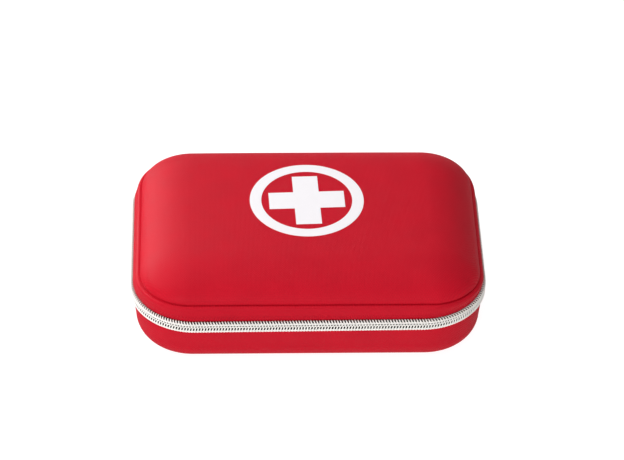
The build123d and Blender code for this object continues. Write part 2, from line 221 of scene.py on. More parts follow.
def cloth_material(
    name, colour, threads, rough=0.55, depth=0.00005, sheen=0.1, contrast=0.12, shine=0.3, uv=True
):
    """Woven cloth on the piece's own UV map in metres, or, for a CAD node, on its place in the case."""
    material, tree, shader = new_material(name)
    weave = tree.nodes.new("ShaderNodeGroup")
    weave.node_tree = WEAVE
    weave.inputs["Threads"].default_value = threads
    if uv:
        place = tree.nodes.new("ShaderNodeUVMap")
        place.uv_map = "cloth"
        tree.links.new(place.outputs["UV"], weave.inputs["Vector"])
    else:
        place, split, join = add_nodes(
            tree, "ShaderNodeTexCoord", "ShaderNodeSeparateXYZ", "ShaderNodeCombineXYZ"
        )
        tree.links.new(place.outputs["Object"], split.inputs[0])
        for axis in ("X", "Y"):
            tree.links.new(maths(tree, "ADD", split.outputs[axis], split.outputs["Z"]), join.inputs[axis])
        tree.links.new(join.outputs[0], weave.inputs["Vector"])
    set_relief(tree, shader, weave.outputs["Height"], depth)
    # Painted shade: the weave's height also sets the cloth's colour, darker in the hollows between its
    # threads, mixed half and half with its random uneven tone.
    hollow_shade_and_tone = maths(
        tree, "ADD", maths(tree, "MULTIPLY", weave.outputs["Height"], 0.5),
        maths(tree, "MULTIPLY", weave.outputs["Uneven"], 0.5),
    )
    set_tones(tree, shader, hollow_shade_and_tone, *tones(colour, contrast))
    set_gloss(tree, shader, weave.outputs["Uneven"], rough - 0.06, rough + 0.06)
    shader.inputs["Sheen Weight"].default_value = sheen
    shader.inputs["Sheen Roughness"].default_value = 0.4
    shader.inputs["Sheen Tint"].default_value = (1.0, 0.75, 0.78, 1)
    shader.inputs["Specular IOR Level"].default_value = shine
    return material


red_cloth = cloth_material(
    "red_cloth", RED, 1600.0, rough=0.44, depth=0.00010, sheen=0.0, contrast=0.2, shine=0.1
)
# The band beside the zip is a separate, coarser strip of the same cloth.
red_band_cloth = cloth_material(
    "red_band_cloth", RED, 1100.0, rough=0.48, depth=0.00028, sheen=0.0, contrast=0.3, shine=0.1
)


# The case's plan: a rectangle with round corners, the same for every layer of both shells. Its size
# comes from the zip's teeth, the outermost part; the lid's dome rises from it in one soft sweep.
chain_low, chain_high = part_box("lower_zip_coil")
HALF_X = chain_high.x / MM
HALF_Y = -chain_low.y / MM
ZIP_Z = (chain_high.z / MM) + 0.5
CORNER = 33.0
ARC_STEPS = 22
STRAIGHT_STEP = 4.0


def ring_points(inset, radius):
    """Points round the plan in millimetres, clockwise from the right end of the back."""
    radius = max(radius, 0.6)
    core_x, core_y = HALF_X - inset - radius, HALF_Y - inset - radius
    corners = ((core_x, core_y), (core_x, -core_y), (-core_x, -core_y), (-core_x, core_y))
    runs = (2 * (HALF_Y - CORNER), 2 * (HALF_X - CORNER)) * 2
    points = []
    for index, (x, y) in enumerate(corners):
        start = math.radians(90 - 90 * index)
        for step in range(ARC_STEPS):
            angle = start - math.radians(90) * step / ARC_STEPS
            points.append((x + radius * math.cos(angle), y + radius * math.sin(angle)))
        ahead = corners[(index + 1) % 4]
        angle = start - math.radians(90)
        edge = (x + radius * math.cos(angle), y + radius * math.sin(angle))
        target = (ahead[0] + radius * math.cos(angle), ahead[1] + radius * math.sin(angle))
        steps = round(runs[index] / STRAIGHT_STEP)
        for step in range(steps):
            share = step / steps
            points.append(tuple(a + (b - a) * share for a, b in zip(edge, target)))
    return points


def outline_walk():
    """The distance walked round the plan's edge at each of its points, and back at the first."""
    outline = ring_points(0, CORNER)
    walked = [0.0]
    for first, second in zip(outline, outline[1:] + outline[:1]):
        walked.append(walked[-1] + math.dist(first, second))
    return walked


def skin(name, vertices, faces, *materials):
    """A mesh object; its vertices are given in millimetres."""
    mesh = bpy.data.meshes.new(name)
    mesh.from_pydata([tuple(part * MM for part in vertex) for vertex in vertices], [], faces)
    for material in materials:
        mesh.materials.append(material)
    return add_object(name, mesh)


def smooth_step(value):
    value = min(max(value, 0.0), 1.0)
    return value * value * (3 - 2 * value)


def zip_wave(x, y):
    """The sewn-in chain isn't quite level: it dips at the left front corner and rises at the right."""
    front = smooth_step((20 - y) / 70)
    return front * (-0.35 + 0.75 * x / HALF_X)


DOME_FOOT = 4.4
DOME_RUN = 25.0
DOME_SHIFT = 0.9
DOME_FOOT_Z = 36.4
DOME_TOP_Z = 47.6
CROWN = 2.0
SOFTNESS = 1.2


def crown(x, y):
    """The slight extra rise of the top, most in its middle."""
    along, across = x / (HALF_X - DOME_FOOT), y / (HALF_Y - DOME_FOOT)
    return CROWN * max(0.0, 1 - along**4) * max(0.0, 1 - across**4)


def dome_height(x, y):
    """Height of the lid's top at a point clear of its rounded corners."""
    x -= DOME_SHIFT
    inset = min(HALF_X - abs(x), HALF_Y - abs(y))
    lean = min(1.0, max(0.0, (DOME_FOOT + DOME_RUN - inset) / DOME_RUN))
    rise = math.sqrt(max(0.0, 1 - lean * lean)) ** SOFTNESS
    return DOME_FOOT_Z + (DOME_TOP_Z - DOME_FOOT_Z) * rise + crown(x, y)


def lay_rings(name, rings, materials):
    """A closed skin from rings of (inset, height, corner radius, kind); kind picks how it moves and maps.

    The first and last rings are closed over by shrinking them to the middle.
    """
    vertices, faces, kinds = [], [], []
    count = len(ring_points(0, CORNER))
    for inset, height, radius, kind in rings:
        for x, y in ring_points(inset, radius):
            lift = crown(x, y) if kind == "dome" else 0.0
            follow = {"edge": 1.0, "band": 0.5}.get(kind, 0.0)
            aside = DOME_SHIFT * {"dome": 1.0, "dent": 0.6}.get(kind, 0.0)
            vertices.append((x + aside, y, height + lift + follow * zip_wave(x, y)))
    levels = len(rings)
    for level in range(levels - 1):
        for step in range(count):
            after = (step + 1) % count
            a, b = level * count + step, level * count + after
            faces.append((a, b, b + count, a + count))
            kinds.append((rings[level + 1][3], step))
    for level, flip in ((0, True), (levels - 1, False)):
        ring = list(range(level * count, level * count + count))
        height, kind = rings[level][1], rings[level][3]
        aside = DOME_SHIFT if kind == "dome" else 0.0
        previous = ring
        shrink_steps = 9
        base = [vertices[index] for index in ring]
        for turn in range(1, shrink_steps):
            share = 1 - turn / shrink_steps
            start = len(vertices)
            for x, y, z in base:
                x, y = (x - aside) * share, y * share
                lift = crown(x, y) if kind == "dome" else 0.0
                vertices.append((x + aside, y, height + lift))
            current = list(range(start, start + count))
            for step in range(count):
                after = (step + 1) % count
                quad = (previous[step], previous[after], current[after], current[step])
                faces.append(quad[::-1] if flip else quad)
                kinds.append((kind, step))
            previous = current
        middle = len(vertices)
        vertices.append((DOME_SHIFT, 0, height + crown(0, 0)) if kind == "dome" else (0, 0, height))
        for step in range(count):
            after = (step + 1) % count
            triangle = (previous[step], previous[after], middle)
            faces.append(triangle[::-1] if flip else triangle)
            kinds.append((kind, step))

    obj = skin(name, vertices, faces, *materials)
    distance = outline_walk()
    cloth = obj.data.uv_layers.new(name="cloth")
    for polygon, (kind, step) in zip(obj.data.polygons, kinds):
        polygon.use_smooth = True
        polygon.material_index = 1 if kind in ("edge", "band", "fold") and len(materials) > 1 else 0
        for loop, vertex in zip(polygon.loop_indices, polygon.vertices):
            x, y, z = vertices[vertex]
            if kind in ("dome", "flat"):
                cloth.data[loop].uv = (x * MM, y * MM)
            else:
                along = distance[step + 1] if vertex % count == (step + 1) % count else distance[step]
                cloth.data[loop].uv = (along * MM, z * MM)
    return obj


# The lid: 4 mm of foam between two cloths, pressed into a soft dome above a welded crease, with the band
# of a second cloth below it, whose lower edge is folded over the zip's tape.
def lid_rings():
    rings = [(31.0, 45.6, 3.0, "flat")]
    for step in range(1, 7):
        sine, cosine = math.sin(math.radians(15 * step)), math.cos(math.radians(15 * step))
        rings.append((31.0 - 24.8 * sine, 37.2 + 8.4 * cosine, 10 + 13 * sine, "flat"))
    rings += [
        (6.2, 31.1, 26.8, "fold"),
        (3.1, 31.0, 29.9, "fold"),
        (3.0, 32.7, 30.0, "fold"),
        (2.06, 32.7, 30.9, "fold"),
        (2.06, 29.1, 30.9, "edge"),
        (1.95, 28.8, 31.0, "edge"),
        (1.7, 28.68, 31.2, "edge"),
        (1.45, 28.85, 31.5, "edge"),
        (1.35, 29.3, 31.5, "edge"),
        (1.4, 30.2, 31.2, "band"),
        (1.55, 31.4, 30.4, "band"),
        (1.75, 32.8, 29.2, "dent"),
        (2.05, 34.0, 27.8, "dent"),
        (2.5, 34.9, 26.6, "dent"),
        (3.2, 35.45, 25.6, "dent"),
        (4.0, 35.6, 24.8, "dent"),
        (4.75, 35.4, 24.2, "dent"),
        (4.95, 35.5, 24.1, "dent"),
        (4.75, 35.85, 24.2, "dome"),
        (4.35, 36.15, 24.4, "dome"),
    ]
    steps = 26
    for step in range(steps + 1):
        angle = math.radians(90) * step / steps
        inset = DOME_FOOT + DOME_RUN * (1 - math.cos(angle))
        height = DOME_FOOT_Z + (DOME_TOP_Z - DOME_FOOT_Z) * math.sin(angle) ** SOFTNESS
        rings.append((inset, height, max(24.4 - 0.75 * (inset - DOME_FOOT), 3.0), "dome"))
    return rings


def settle(obj, body, slot, *nodes):
    """Says which body a piece rides on and hides the CAD nodes it stands in for; slot is not used."""
    if nodes:
        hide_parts(*nodes)
    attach(obj, body)


lid = lay_rings("lid_outer", lid_rings(), (red_cloth, red_band_cloth))
settle(lid, "lid", "red_fabric", "lid_shell")


# The base: the same foam and cloth in one pressing, its wall drawn in a little towards a soft foot. Its
# top edge turns inwards over the zip's lower tape.
def base_rings():
    rings = [(12.1, 0.0, 20.0, "flat")]
    foot_run, foot_rise, wall = 9.4, 11.0, 2.7
    steps = 12
    for step in range(1, steps + 1):
        angle = math.radians(90) * step / steps
        inset = wall + foot_run * (1 - math.sin(angle))
        height = foot_rise * (1 - math.cos(angle))
        rings.append((inset, height, 20.0 + 8.0 * math.sin(angle), "wall"))
    rings += [
        (2.3, 14.0, 29.0, "wall"),
        (1.9, 17.0, 30.0, "wall"),
        (1.65, 19.5, 30.8, "band"),
        (1.5, 21.2, 31.4, "edge"),
        (1.5, 21.9, 31.5, "edge"),
        (1.65, 22.25, 31.3, "edge"),
        (1.9, 22.32, 31.1, "edge"),
        (2.06, 22.1, 30.9, "edge"),
        (2.06, 18.3, 30.9, "fold"),
        (3.0, 18.3, 30.0, "fold"),
        (3.1, 20.0, 29.9, "fold"),
        (6.2, 19.9, 26.8, "fold"),
    ]
    for step in range(7):
        angle = math.radians(15 * step)
        draw = 6.0 * math.cos(angle)
        rings.append((12.2 - draw, 8.8 - 6.0 * math.sin(angle), 20.8 + draw, "flat"))
    return rings


base = lay_rings("base_outer", base_rings(), (red_cloth,))
settle(base, "base", "red_fabric", "base_shell")


# The zip's chain: two rows of moulded coil, each turn hooked between two turns of the other row. A turn
# comes over the row's back edge, runs down its face and ends in a head at the middle.
PITCH = 1.454


def loft_faces(levels, loop, width):
    """Faces of a closed skin over equal loops of vertices, each width on from the last, and its two caps."""
    faces = []
    for level in range(levels - 1):
        for first, second in zip(loop, loop[1:] + loop[:1]):
            a, b = level * width + first, level * width + second
            faces.append((a, b, b + width, a + width))
    faces.append(tuple(loop)[::-1])
    faces.append(tuple(index + (levels - 1) * width for index in loop))
    return faces


def wire_mesh(name, stations, sides=7):
    """A closed wire through (x, y, z, width, thickness) stations in millimetres; width lies along X."""
    vertices = []
    for index, (x, y, z, width, thick) in enumerate(stations):
        before = stations[max(index - 1, 0)]
        after = stations[min(index + 1, len(stations) - 1)]
        run = Vector([b - a for a, b in zip(before[:3], after[:3])]).normalized()
        across = (Vector((1, 0, 0)) - run * run.x).normalized()
        out = run.cross(across)
        for side in range(sides):
            angle = 2 * math.pi * side / sides
            aside, proud = across * width / 2 * math.cos(angle), out * thick / 2 * math.sin(angle)
            vertices.append((Vector((x, y, z)) + aside + proud) * MM)
    mesh = bpy.data.meshes.new(name)
    mesh.from_pydata(vertices, [], loft_faces(len(stations), list(range(sides)), sides))
    for polygon in mesh.polygons:
        polygon.use_smooth = True
    return mesh


def make_row_tree():
    """Sets copies of one object at even steps along a path, turned to follow it."""
    tree = bpy.data.node_groups.new("row_along_path", "GeometryNodeTree")
    sockets = tree.interface
    for name, kind in (
        ("Geometry", "Geometry"), ("Pitch", "Float"), ("Start", "Float"), ("Item", "Object"),
        ("Material", "Material"),
    ):
        sockets.new_socket(name, in_out="INPUT", socket_type="NodeSocket" + kind)
    sockets.new_socket("Geometry", in_out="OUTPUT", socket_type="NodeSocketGeometry")
    inlet, curve, trim, steps, item, place, tangent, turn, real, finish, outlet = add_nodes(
        tree,
        "NodeGroupInput", "GeometryNodeMeshToCurve", "GeometryNodeTrimCurve", "GeometryNodeResampleCurve",
        "GeometryNodeObjectInfo", "GeometryNodeInstanceOnPoints", "GeometryNodeInputTangent",
        "FunctionNodeAlignEulerToVector", "GeometryNodeRealizeInstances", "GeometryNodeSetMaterial",
        "NodeGroupOutput",
    )
    trim.mode = "LENGTH"
    steps.mode = "LENGTH"
    turn.axis = "X"
    turn.pivot_axis = "Z"
    item.transform_space = "ORIGINAL"
    trim.inputs[5].default_value = 100.0
    for output, target in (
        (inlet.outputs["Geometry"], curve.inputs["Mesh"]),
        (curve.outputs["Curve"], trim.inputs["Curve"]),
        (inlet.outputs["Start"], trim.inputs[4]),
        (trim.outputs["Curve"], steps.inputs["Curve"]),
        (inlet.outputs["Pitch"], steps.inputs["Length"]),
        (steps.outputs["Curve"], place.inputs["Points"]),
        (inlet.outputs["Item"], item.inputs["Object"]),
        (item.outputs["Geometry"], place.inputs["Instance"]),
        (tangent.outputs["Tangent"], turn.inputs["Vector"]),
        (turn.outputs["Rotation"], place.inputs["Rotation"]),
        (place.outputs["Instances"], real.inputs["Geometry"]),
        (real.outputs["Geometry"], finish.inputs["Geometry"]),
        (inlet.outputs["Material"], finish.inputs["Material"]),
        (finish.outputs["Geometry"], outlet.inputs["Geometry"]),
    ):
        tree.links.new(output, target)
    return tree


ROW_TREE = make_row_tree()


def row_along(name, path, item_mesh, pitch, start, material):
    """A plain mesh of the item repeated along the path; path is in millimetres, sizes too."""
    line = bpy.data.meshes.new(name)
    line.from_pydata([Vector(p) * MM for p in path], [(i, i + 1) for i in range(len(path) - 1)], [])
    carrier = add_object(name + "_path", line)
    item = add_object(name + "_item", item_mesh)
    modifier = carrier.modifiers.new("row", "NODES")
    modifier.node_group = ROW_TREE
    values = {"Pitch": pitch * MM, "Start": start * MM, "Item": item, "Material": material}
    for socket in ROW_TREE.interface.items_tree:
        if socket.in_out == "INPUT" and socket.name in values:
            modifier[socket.identifier] = values[socket.name]
    graph = bpy.context.evaluated_depsgraph_get()
    mesh = bpy.data.meshes.new_from_object(carrier.evaluated_get(graph))
    mesh.name = name
    bpy.data.objects.remove(carrier)
    bpy.data.objects.remove(item)
    return add_object(name, mesh)


CHAIN_END = 27.5


def chain_path(inset, height):
    """Along the chain from the right rear corner to the left one; it ends that many degrees from the back."""
    radius = CORNER - inset
    core_x, core_y = HALF_X - CORNER, HALF_Y - CORNER
    spots = []
    corners = (
        (core_x, core_y, CHAIN_END, 90), (core_x, -core_y, 90, 180), (-core_x, -core_y, 180, 270),
        (-core_x, core_y, 270, 360 - CHAIN_END),
    )
    for x, y, first, last in corners:
        count = max(4, round((last - first) / 2))
        for step in range(count + 1):
            angle = math.radians(first + (last - first) * step / count)
            spots.append((x + radius * math.sin(angle), y + radius * math.cos(angle)))
    dense = [spots[0]]
    for spot in spots[1:]:
        gap = math.dist(dense[-1], spot)
        steps = max(1, round(gap / 3.0))
        first = dense[-1]
        for step in range(1, steps + 1):
            dense.append(tuple(a + (b - a) * step / steps for a, b in zip(first, spot)))
    return [(x, y, height + zip_wave(x, y)) for x, y in dense]


def coil_material():
    """Bright enamelled coil, a little uneven from wear."""
    material, tree, shader = new_material("coil_silver")
    place, wear = add_nodes(tree, "ShaderNodeTexCoord", "ShaderNodeTexNoise")
    tree.links.new(place.outputs["Object"], wear.inputs["Vector"])
    wear.inputs["Scale"].default_value = 900.0
    set_tones(tree, shader, wear.outputs["Fac"], (0.88, 0.845, 0.80), (0.96, 0.94, 0.905))
    set_relief(tree, shader, wear.outputs["Fac"], 0.00003)
    shader.inputs["Roughness"].default_value = 0.32
    shader.inputs["Metallic"].default_value = 0.05
    return material


coil_silver = coil_material()

# Each turn's wire, station by station: (x, y, z, width, thickness), from the row's back edge to its head.
upper_turn = [
    (1.15, -2.0, 2.1, 0.65, 0.5),
    (1.0, -1.55, 2.85, 0.66, 0.5),
    (0.8, -0.7, 3.12, 0.72, 0.55),
    (0.55, -0.15, 2.6, 0.72, 0.6),
    (0.3, -0.1, 2.2, 0.74, 0.6),
    (0.1, -0.2, 1.95, 1.1, 0.7),
    (0.02, -0.2, 1.75, 2.3, 0.7),
    (0.0, -0.2, 1.5, 2.2, 0.7),
    (0.0, -0.26, 1.36, 0.68, 0.6),
    (0.0, -0.3, 0.42, 0.66, 0.6),
    (0.0, -0.3, 0.3, 2.0, 0.6),
    (0.0, -0.42, 0.0, 2.0, 0.5),
    (0.0, -0.8, -0.15, 1.2, 0.4),
]
lower_turn = [
    (-0.35, -1.3, 0.3, 0.6, 0.4),
    (-0.3, -1.0, -0.1, 0.62, 0.45),
    (-0.2, -0.36, -0.35, 0.74, 0.55),
    (-0.02, -0.3, -1.1, 0.74, 0.6),
    (0.14, -0.3, -1.85, 0.78, 0.65),
    (0.2, -0.3, -2.0, 2.2, 0.75),
    (0.22, -0.35, -2.4, 2.2, 0.75),
    (0.22, -0.7, -2.98, 1.3, 0.7),
    (0.22, -1.9, -2.7, 0.8, 0.6),
]


def strip_along(name, section, material):
    """A closed strip along the chain; section is its (inset, height) corners in millimetres."""
    lines = [chain_path(inset, ZIP_Z + height) for inset, height in section]
    vertices = [line[index] for index in range(len(lines[0])) for line in lines]
    sides = len(lines)
    return skin(name, vertices, loft_faces(len(lines[0]), list(range(sides))[::-1], sides), material)


def plain_material(name, colour, rough, metal=0.0, grain=400.0, depth=0.00002, shine=0.5, vary=0.08):
    """A moulded, rolled or brushed surface with fine unevenness in its colour, gloss and face."""
    material, tree, shader = new_material(name)
    place, fine = add_nodes(tree, "ShaderNodeTexCoord", "ShaderNodeTexNoise")
    tree.links.new(place.outputs["Object"], fine.inputs["Vector"])
    fine.inputs["Scale"].default_value = grain
    fine.inputs["Detail"].default_value = 3.0
    set_tones(tree, shader, fine.outputs["Fac"], *tones(colour, vary))
    set_gloss(tree, shader, fine.outputs["Fac"], max(0.05, rough - 0.08), rough + 0.08)
    set_relief(tree, shader, fine.outputs["Fac"], depth)
    shader.inputs["Metallic"].default_value = metal
    shader.inputs["Specular IOR Level"].default_value = shine
    return material


# Painted shade: a near-black strip behind each row of turns stands in for the shade in the gaps between the
# turns.
gap_shade_black = plain_material("gap_shade_black", (0.020, 0.014, 0.014), 0.85, grain=1500.0, shine=0.2)
for body, turn, shift, node, low, high in (
    ("lid", upper_turn, 0.0, "upper_zip_coil", 0.7, 2.3),
    ("base", lower_turn, PITCH / 2, "lower_zip_coil", -2.3, 0.1),
):
    item = wire_mesh(f"{body}_turn", turn)
    teeth = row_along(f"{body}_teeth", chain_path(0, ZIP_Z), item, PITCH, shift, coil_silver)
    settle(teeth, body, "zip_coil", node)
    gap_shade_strip = strip_along(f"{body}_teeth_core", ((0.8, low), (2.0, low), (2.0, high), (0.8, high)), gap_shade_black)
    settle(gap_shade_strip, body, "zip_coil")


# The zip's cloth tapes, sewn into the fold of each rim, and its metal parts: the slider, parked at the
# right rear corner, its loop and tab, and the crimped stops.
tape_cloth = cloth_material("tape_cloth", (0.46, 0.006, 0.015), 2600.0, rough=0.8, uv=False)
plated = plain_material("plated_casting", (0.72, 0.72, 0.74), 0.26, metal=1.0, grain=700.0, depth=0.00001)


def finish_nodes(material, *names):
    """Gives CAD nodes that keep their shape their material."""
    for name in names:
        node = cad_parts[name]
        for slot in node.material_slots:
            slot.material = material
        if not node.material_slots:
            node.data.materials.append(material)


finish_nodes(tape_cloth, "upper_zip_tape", "lower_zip_tape")
finish_nodes(plated, "zip_slider", "zip_pull_loop", "zip_pull_tab", "upper_zip_stops", "lower_zip_stops")


# The emblem: a plain white ring round a plain white cross, screen printed on the lid in one thick film
# before the cloth is pressed, so it follows the dome.
print_white = plain_material("print_white", (0.86, 0.835, 0.86), 0.55, grain=250.0, shine=0.2, vary=0.015)
film_low, film_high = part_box("lid_emblem")
EMBLEM_Y = (film_low.y + film_high.y) / 2 / MM
EMBLEM_RADIUS = (film_high.x - film_low.x) / 2 / MM
EMBLEM_TURN = math.radians(2.2)
FIELD_RADIUS = 23.0
CROSS_SPAN = 38.2
CROSS_ARM = 12.9


FILM_RISE = 0.08
FILM_THICK = 0.12


def make_emblem():
    vertices, faces = [], []

    def add_patch(rows, columns, spot, closed=False):
        start = len(vertices)
        width = columns if closed else columns + 1
        for row in range(rows + 1):
            for column in range(width):
                x, y = spot(row / rows, column / columns)
                turned_x = x * math.cos(EMBLEM_TURN) - y * math.sin(EMBLEM_TURN)
                turned_y = x * math.sin(EMBLEM_TURN) + y * math.cos(EMBLEM_TURN) + EMBLEM_Y
                vertices.append((turned_x, turned_y, dome_height(turned_x, turned_y) + FILM_RISE))
        for row in range(rows):
            for column in range(columns):
                after = (column + 1) % width
                a, b = start + row * width + column, start + row * width + after
                faces.append((a, b, b + width, a + width))

    def ring_spot(row, column):
        radius = EMBLEM_RADIUS + (FIELD_RADIUS - EMBLEM_RADIUS) * row
        return radius * math.cos(2 * math.pi * column), radius * math.sin(2 * math.pi * column)

    add_patch(4, 120, ring_spot, closed=True)
    half, arm = CROSS_SPAN / 2, CROSS_ARM / 2
    for low, high in (
        ((-arm, -arm), (arm, arm)), ((-half, -arm), (-arm, arm)), ((arm, -arm), (half, arm)),
        ((-arm, -half), (arm, -arm)), ((-arm, arm), (arm, half)),
    ):
        add_patch(8, 8, lambda r, c, a=low, b=high: (a[0] + (b[0] - a[0]) * c, a[1] + (b[1] - a[1]) * r))
    obj = skin("emblem", vertices, faces, print_white)
    work = bmesh.new()
    work.from_mesh(obj.data)
    bmesh.ops.remove_doubles(work, verts=work.verts, dist=0.00001)
    bmesh.ops.recalc_face_normals(work, faces=work.faces)
    for face in work.faces:
        if face.normal.z < 0:
            face.normal_flip()
        face.smooth = True
    work.to_mesh(obj.data)
    work.free()
    thick = obj.modifiers.new("film", "SOLIDIFY")
    thick.thickness = FILM_THICK * MM
    thick.offset = -1
    obj.modifiers.new("crisp_edges", "EDGE_SPLIT").split_angle = math.radians(50)
    return obj


settle(make_emblem(), "lid", "print_white", "lid_emblem")


# The hinge: one strip of the red cloth, sewn flat to both halves across the back, which on the real case
# folds on its middle line when the lid opens; here it is one fixed piece, hung on neither half. Two rows of
# stitches run along each sewn edge.
strip_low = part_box("hinge_fabric_lower")[0] / MM
strip_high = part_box("hinge_fabric_upper")[1] / MM
STRIP_THICK = 0.72
STITCH_STEP = 2.8


def hinge_face(z):
    """Where the strip's inner face lies: against the shells' back, which leans in above and below."""
    away = max(0.0, abs(z - ZIP_Z) - 4.0)
    return HALF_Y - 1.18 - 0.012 * away**2 - (0.06 * away if z > ZIP_Z else 0.04 * away)


def slab_faces(rows, columns):
    """Faces of a closed slab over two grids of vertices: all the first side's, then all the second's."""
    faces = []
    width = columns + 1
    half = (rows + 1) * width
    for row in range(rows):
        for column in range(columns):
            a = row * width + column
            faces.append((a, a + width, a + width + 1, a + 1))
            faces.append((a + half, a + half + 1, a + half + width + 1, a + half + width))
    border = list(range(width)) + [row * width + columns for row in range(1, rows + 1)]
    border += [rows * width + column for column in range(columns - 1, -1, -1)]
    border += [row * width for row in range(rows - 1, 0, -1)]
    for first, second in zip(border, border[1:] + border[:1]):
        faces.append((first, second, second + half, first + half))
    return faces


def map_cloth(mesh, places):
    """Smooths the mesh and maps its weave, with each vertex's place on the cloth in metres."""
    layer = mesh.uv_layers.new(name="cloth")
    for polygon in mesh.polygons:
        polygon.use_smooth = True
        for loop, vertex in zip(polygon.loop_indices, polygon.vertices):
            layer.data[loop].uv = places[vertex]


def make_hinge_cloth():
    rows, columns = 44, 60
    vertices = []
    for thick in (STRIP_THICK, 0.0):
        for row in range(rows + 1):
            z = strip_low.z + (strip_high.z - strip_low.z) * row / rows
            edge = min(1.0, min(z - strip_low.z, strip_high.z - z) / 0.8)
            for column in range(columns + 1):
                x = strip_low.x + (strip_high.x - strip_low.x) * column / columns
                vertices.append((x, hinge_face(z) + thick * (0.6 + 0.4 * edge), z))
    obj = skin("hinge_cloth", vertices, slab_faces(rows, columns), red_band_cloth)
    map_cloth(obj.data, [(x * MM, z * MM) for x, y, z in vertices])
    return obj


hinge = make_hinge_cloth()
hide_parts("hinge_fabric_lower", "hinge_fabric_upper")
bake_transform(hinge)

thread_red = plain_material("thread_red", (0.42, 0.012, 0.022), 0.6, grain=2500.0)
stitch = [
    (-1.0, -0.15, 0.4, 0.4), (-0.8, 0.08, 0.45, 0.36), (0.0, 0.13, 0.5, 0.36), (0.8, 0.08, 0.45, 0.36),
    (1.0, -0.15, 0.4, 0.4),
]


def stitch_mesh(name):
    """One stitch along X, standing out to +Y: the wire's width lies across it here."""
    mesh = wire_mesh(name, [(out, 0, along, width, thick) for along, out, width, thick in stitch], sides=6)
    mesh.transform(Matrix(((0, 0, 1, 0), (1, 0, 0, 0), (0, 1, 0, 0), (0, 0, 0, 1))))
    return mesh


for body, level, height in (("base", "low", strip_low.z + 1.5), ("lid", "high", strip_high.z - 1.5)):
    for row, gap in enumerate((0.0, 2.2)):
        z = height + (gap if body == "base" else -gap)
        y = hinge_face(z) + 0.55
        spots = range(int((strip_high.x - strip_low.x) / 3))
        line = [(strip_high.x - 1.5 - 3 * spot, y, z) for spot in reversed(spots)]
        name = f"hinge_seam_{level}_{row + 1}"
        seam = row_along(name, line, stitch_mesh("seam_stitch"), STITCH_STEP, 0.3, thread_red)
        settle(seam, body, "red_fabric")


# The inside of the shells: a dark brushed lining glued to the foam, its raw edge and the foam's covered
# all round by a folded binding tape, which a row of stitches holds.
LINING_DARK = (0.040, 0.040, 0.044)
lining_cloth = cloth_material(
    "lining_cloth", LINING_DARK, 900.0, rough=0.85, depth=0.00010, sheen=0.35, contrast=0.25
)
binding_cloth = cloth_material(
    "binding_cloth", (0.030, 0.030, 0.033), 1300.0, rough=0.75, depth=0.00014, sheen=0.2, contrast=0.3
)
thread_dark = plain_material("thread_dark", (0.075, 0.075, 0.080), 0.6, grain=2500.0)


def base_lining_rings():
    rings = [(14.0, 3.15, 24.0, "flat")]
    for step in range(7):
        sine, cosine = math.sin(math.radians(15 * step)), math.cos(math.radians(15 * step))
        rings.append((12.4 - 5.8 * sine, 8.95 - 5.8 * cosine, 21 + 5.5 * sine, "flat"))
    rings += [
        (6.6, 11.5, 26.5, "flat"), (6.7, 14.2, 26.3, "wall"), (6.85, 14.4, 26.1, "wall"),
        (7.0, 14.2, 26, "wall"), (7.1, 11.5, 25.9, "wall"),
    ]
    for step in range(7):
        angle = math.radians(90 - 15 * step)
        draw = 5.1 * math.sin(angle)
        rings.append((12.2 - draw, 8.8 - 5.1 * math.cos(angle), 20.8 + draw, "flat"))
    return rings


def lid_lining_rings():
    rings = [(31.0, 45.05, 3.0, "flat")]
    for step in range(1, 7):
        sine, cosine = math.sin(math.radians(15 * step)), math.cos(math.radians(15 * step))
        rings.append((31.0 - 23.9 * sine, 37.2 + 7.85 * cosine, 10 + 15.9 * sine, "flat"))
    rings += [(7.1, 36.8, 25.9, "wall"), (6.9, 36.65, 26.1, "wall"), (6.5, 36.8, 26.4, "wall")]
    for step in range(6, -1, -1):
        sine, cosine = math.sin(math.radians(15 * step)), math.cos(math.radians(15 * step))
        rings.append((31.0 - 24.5 * sine, 37.2 + 8.25 * cosine, 10 + 16.4 * sine, "flat"))
    return rings


for body, rings in (("base", base_lining_rings()), ("lid", lid_lining_rings())):
    lining = lay_rings(f"{body}_inner_cloth", rings, (lining_cloth,))
    settle(lining, body, "lining", f"{body}_lining")


def ring_strip(name, section, material):
    """A closed hoop round the case whose cross-section is the (inset, height) corners, given in order."""
    distance = outline_walk()
    count, sides = len(distance) - 1, len(section)
    around = [0.0]
    for first, second in zip(section, section[1:] + section[:1]):
        around.append(around[-1] + math.dist(first, second))
    vertices = [(x, y, height) for inset, height in section for x, y in ring_points(inset, CORNER - inset)]
    faces, places = [], []
    for side in range(sides):
        after = (side + 1) % sides
        for step in range(count):
            ahead = (step + 1) % count
            near, far = side * count, after * count
            faces.append((near + step, near + ahead, far + ahead, far + step))
            here, there = distance[step] * MM, distance[step + 1] * MM
            low, high = around[side] * MM, around[side + 1] * MM
            places.append(((here, low), (there, low), (there, high), (here, high)))
    obj = skin(name, vertices, faces, material)
    layer = obj.data.uv_layers.new(name="cloth")
    for polygon, corners in zip(obj.data.polygons, places):
        polygon.use_smooth = True
        for loop, spot in zip(polygon.loop_indices, corners):
            layer.data[loop].uv = spot
    fix_normals(obj.data)
    return obj


def fix_normals(mesh):
    """Turns a closed mesh's faces outwards."""
    work = bmesh.new()
    work.from_mesh(mesh)
    bmesh.ops.recalc_face_normals(work, faces=work.faces)
    if work.calc_volume(signed=True) < 0:
        bmesh.ops.reverse_faces(work, faces=work.faces)
    work.to_mesh(mesh)
    work.free()


